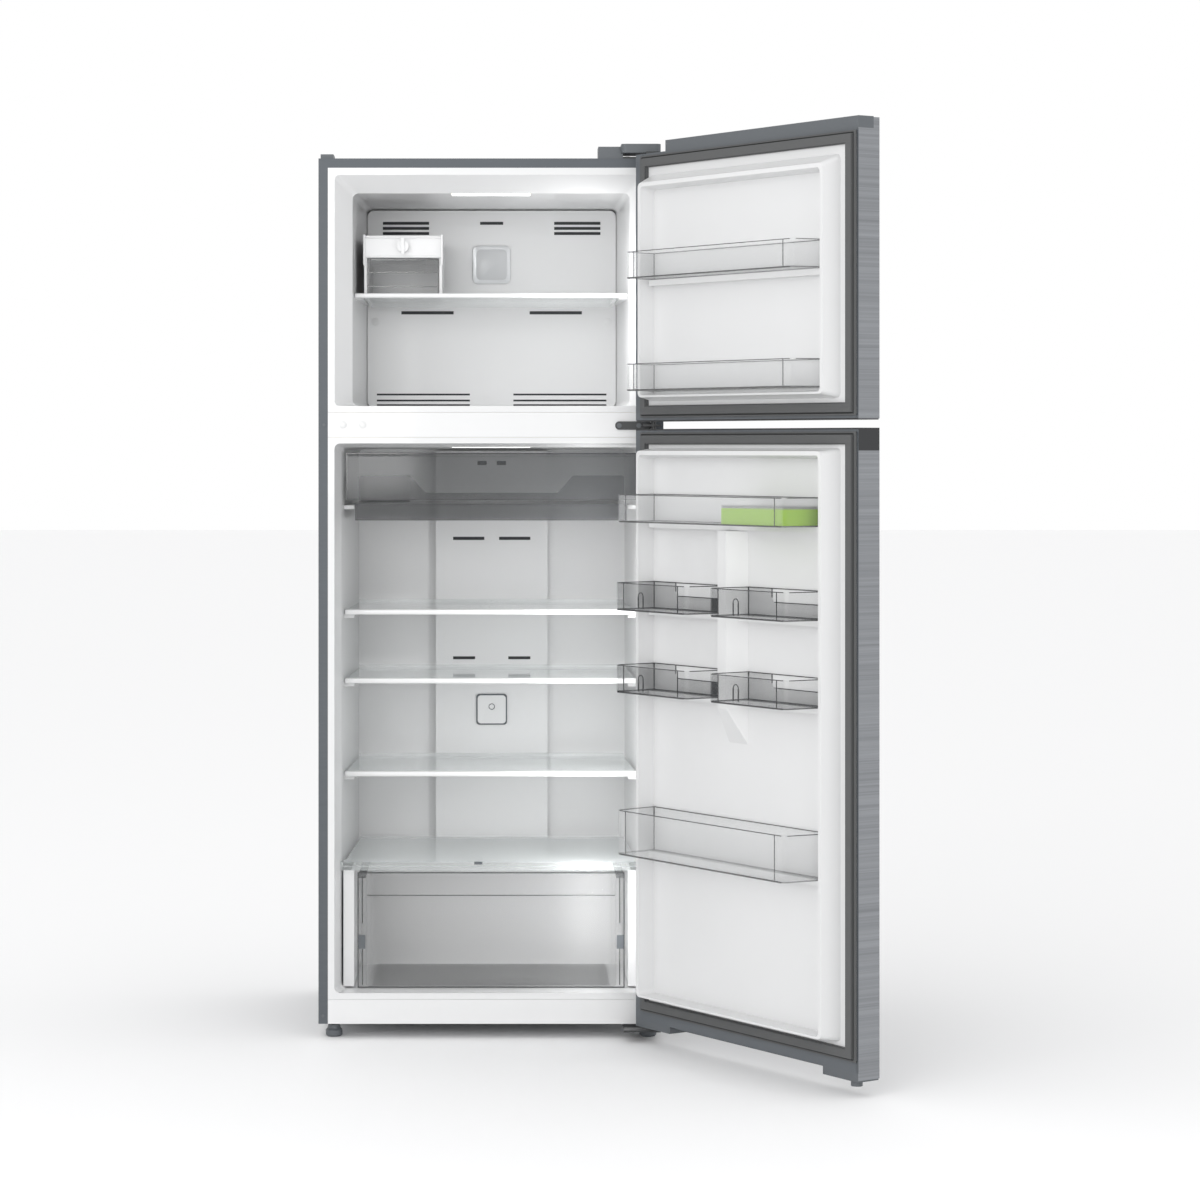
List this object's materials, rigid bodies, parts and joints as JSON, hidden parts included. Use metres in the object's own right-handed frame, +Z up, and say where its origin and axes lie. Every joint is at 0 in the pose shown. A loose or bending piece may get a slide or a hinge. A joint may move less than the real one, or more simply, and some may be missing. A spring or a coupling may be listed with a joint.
{
  "type": "top freezer refrigerator",
  "caption": "Upright two-door refrigerator with the freezer on top, hinged doors with bins, pull-out drawers and glass shelves.",
  "frame": {"origin": "on the floor, under the middle of the cabinet's front face", "axes": "+X to the hinge side, +Y to the back, +Z up; the doors are open at rest"},
  "size_m": [1.0706, 1.2287, 1.814],
  "materials": {
    "steel_shell": "painted, fine horizontal brush",
    "steel_door": "painted, fine horizontal brush",
    "zinc": "galvanised",
    "foam": "rigid foam",
    "liner": "smooth moulded",
    "trim_white": "smooth",
    "black": "satin",
    "grey": "satin",
    "clear": "clear moulded plastic",
    "smoke": "smoked clear plastic",
    "shelf_glass": "toughened glass with a white trim",
    "gasket": "soft magnetic profile",
    "alu": "plain",
    "pressed_black": "black paint",
    "hinge_steel": "dark coated",
    "lamp": "diffuser",
    "lime": "smooth"
  },
  "bodies": {
    "cabinet": {"cabinet_shell": "steel_shell", "back_panel": "zinc", "cabinet_foam": "foam", "freezer_liner": "liner", "fridge_liner": "liner", "front_rails": "trim_white", "base_pan": "zinc", "evaporator_cover": "trim_white", "evaporator_coil": "alu", "evaporator_fan_frame": "trim_white", "interior_lamps": "lamp", "duct_panel": "trim_white", "crisper_rails": "trim_white", "crisper_cover": "shelf_glass", "compressor": "pressed_black", "condenser_coil": "pressed_black", "drain_pan": "trim_white", "machine_cover": "zinc", "cord_gland": "black", "hinge_top": "hinge_steel", "hinge_top_cover": "grey", "hinge_middle": "hinge_steel", "hinge_bottom": "hinge_steel", "screws_and_plugs": "grey"},
    "freezer_shelf": {"freezer_shelf": "shelf_glass", "ice_maker_frame": "trim_white"},
    "freezer_door": {"freezer_door_skin": "steel_door", "freezer_door_liner": "liner", "freezer_door_gasket": "gasket", "freezer_door_top_cap": "grey", "freezer_door_base_cap": "black"},
    "fridge_door": {"fridge_door_skin": "steel_door", "fridge_door_liner": "liner", "fridge_door_gasket": "gasket", "fridge_door_grip": "black", "fridge_door_base_cap": "grey"},
    "evaporator_fan": {"evaporator_fan": "grey"},
    "condenser_fan": {"condenser_fan": "grey"},
    "humidity_slider": {"humidity_slider": "grey"},
    "crisper_drawer": {"crisper_drawer": "clear"},
    "chiller_tray": {"chiller_tray": "smoke"},
    "chiller_flap": {"chiller_flap": "smoke"},
    "shelf_upper": {"shelf_upper": "shelf_glass"},
    "shelf_middle": {"shelf_middle": "shelf_glass"},
    "shelf_lower": {"shelf_lower": "shelf_glass"},
    "ice_tray": {"ice_tray": "trim_white"},
    "ice_bin": {"ice_bin": "clear"},
    "foot_left": {"foot_left": "grey"},
    "foot_right": {"foot_right": "grey"},
    "rear_rollers": {"rear_rollers": "grey"},
    "freezer_bin_upper": {"freezer_bin_upper": "clear"},
    "freezer_bin_lower": {"freezer_bin_lower": "clear"},
    "fridge_bin_top": {"fridge_bin_top": "clear"},
    "half_bin_upper_left": {"half_bin_upper_left": "smoke"},
    "half_bin_upper_right": {"half_bin_upper_right": "smoke"},
    "half_bin_lower_left": {"half_bin_lower_left": "smoke"},
    "half_bin_lower_right": {"half_bin_lower_right": "smoke"},
    "bottle_bin": {"bottle_bin": "clear"},
    "egg_tray": {"egg_tray": "lime"},
    "egg_lid": {"egg_lid": "clear"}
  },
  "joints": [
    {"name": "freezer_door_swing", "type": "hinge", "parent": "cabinet", "child": "freezer_door", "pos_m": [0.328, -0.04, 1.5], "axis": [0, 0, 1], "range_deg": [-123.5, 6.5]},
    {"name": "fridge_door_swing", "type": "hinge", "parent": "cabinet", "child": "fridge_door", "pos_m": [0.328, -0.04, 0.64], "axis": [0, 0, 1], "range_deg": [-123.5, 6.5]},
    {"name": "freezer_bin_upper_lift", "type": "slide", "parent": "freezer_door", "child": "freezer_bin_upper", "axis": [0, 0, 1], "range_m": [0, 0.02]},
    {"name": "freezer_bin_lower_lift", "type": "slide", "parent": "freezer_door", "child": "freezer_bin_lower", "axis": [0, 0, 1], "range_m": [0, 0.02]},
    {"name": "fridge_bin_top_lift", "type": "slide", "parent": "fridge_door", "child": "fridge_bin_top", "axis": [0, 0, 1], "range_m": [0, 0.02]},
    {"name": "half_bin_upper_left_lift", "type": "slide", "parent": "fridge_door", "child": "half_bin_upper_left", "axis": [0, 0, 1], "range_m": [0, 0.02]},
    {"name": "half_bin_upper_right_lift", "type": "slide", "parent": "fridge_door", "child": "half_bin_upper_right", "axis": [0, 0, 1], "range_m": [0, 0.02]},
    {"name": "half_bin_lower_left_lift", "type": "slide", "parent": "fridge_door", "child": "half_bin_lower_left", "axis": [0, 0, 1], "range_m": [0, 0.02]},
    {"name": "half_bin_lower_right_lift", "type": "slide", "parent": "fridge_door", "child": "half_bin_lower_right", "axis": [0, 0, 1], "range_m": [0, 0.02]},
    {"name": "bottle_bin_lift", "type": "slide", "parent": "fridge_door", "child": "bottle_bin", "axis": [0, 0, 1], "range_m": [0, 0.02]},
    {"name": "egg_tray_lift", "type": "slide", "parent": "fridge_bin_top", "child": "egg_tray", "axis": [0, 0, 1], "range_m": [0, 0.03]},
    {"name": "egg_lid_lift", "type": "slide", "parent": "egg_tray", "child": "egg_lid", "axis": [0, 0, 1], "range_m": [0, 0.02]},
    {"name": "freezer_shelf_slide", "type": "slide", "parent": "cabinet", "child": "freezer_shelf", "axis": [0, -1, 0], "range_m": [0, 0.06]},
    {"name": "ice_tray_twist", "type": "hinge", "parent": "freezer_shelf", "child": "ice_tray", "pos_m": [-0.182, 0.12, 1.6142], "axis": [0, -1, 0], "range_deg": [-150, 0]},
    {"name": "ice_bin_slide", "type": "slide", "parent": "freezer_shelf", "child": "ice_bin", "axis": [0, -1, 0], "range_m": [0, 0.1]},
    {"name": "shelf_upper_slide", "type": "slide", "parent": "cabinet", "child": "shelf_upper", "axis": [0, -1, 0], "range_m": [0, 0.08]},
    {"name": "shelf_middle_slide", "type": "slide", "parent": "cabinet", "child": "shelf_middle", "axis": [0, -1, 0], "range_m": [0, 0.08]},
    {"name": "shelf_lower_slide", "type": "slide", "parent": "cabinet", "child": "shelf_lower", "axis": [0, -1, 0], "range_m": [0, 0.08]},
    {"name": "crisper_drawer_slide", "type": "slide", "parent": "cabinet", "child": "crisper_drawer", "axis": [0, -1, 0], "range_m": [0, 0.24]},
    {"name": "humidity_slider_move", "type": "slide", "parent": "cabinet", "child": "humidity_slider", "axis": [1, 0, 0], "range_m": [0, 0.05]},
    {"name": "chiller_tray_slide", "type": "slide", "parent": "cabinet", "child": "chiller_tray", "axis": [0, -1, 0], "range_m": [0, 0.16]},
    {"name": "chiller_flap_swing", "type": "hinge", "parent": "cabinet", "child": "chiller_flap", "pos_m": [0, 0.109, 1.184], "axis": [-1, 0, 0], "range_deg": [0, 70]},
    {"name": "evaporator_fan_spin", "type": "hinge", "parent": "cabinet", "child": "evaporator_fan", "pos_m": [0, 0.47, 1.6405], "axis": [0, 1, 0], "continuous": true},
    {"name": "condenser_fan_spin", "type": "hinge", "parent": "cabinet", "child": "condenser_fan", "pos_m": [0.034, 0.515, 0.099], "axis": [1, 0, 0], "continuous": true},
    {"name": "foot_left_screw", "type": "hinge", "parent": "cabinet", "child": "foot_left", "pos_m": [-0.32, 0.034, 0.01], "axis": [0, 0, 1], "continuous": true},
    {"name": "foot_right_screw", "type": "hinge", "parent": "cabinet", "child": "foot_right", "pos_m": [0.32, 0.034, 0.01], "axis": [0, 0, 1], "continuous": true},
    {"name": "rear_rollers_roll", "type": "hinge", "parent": "cabinet", "child": "rear_rollers", "pos_m": [0, 0.56, 0.018], "axis": [1, 0, 0], "continuous": true}
  ]
}
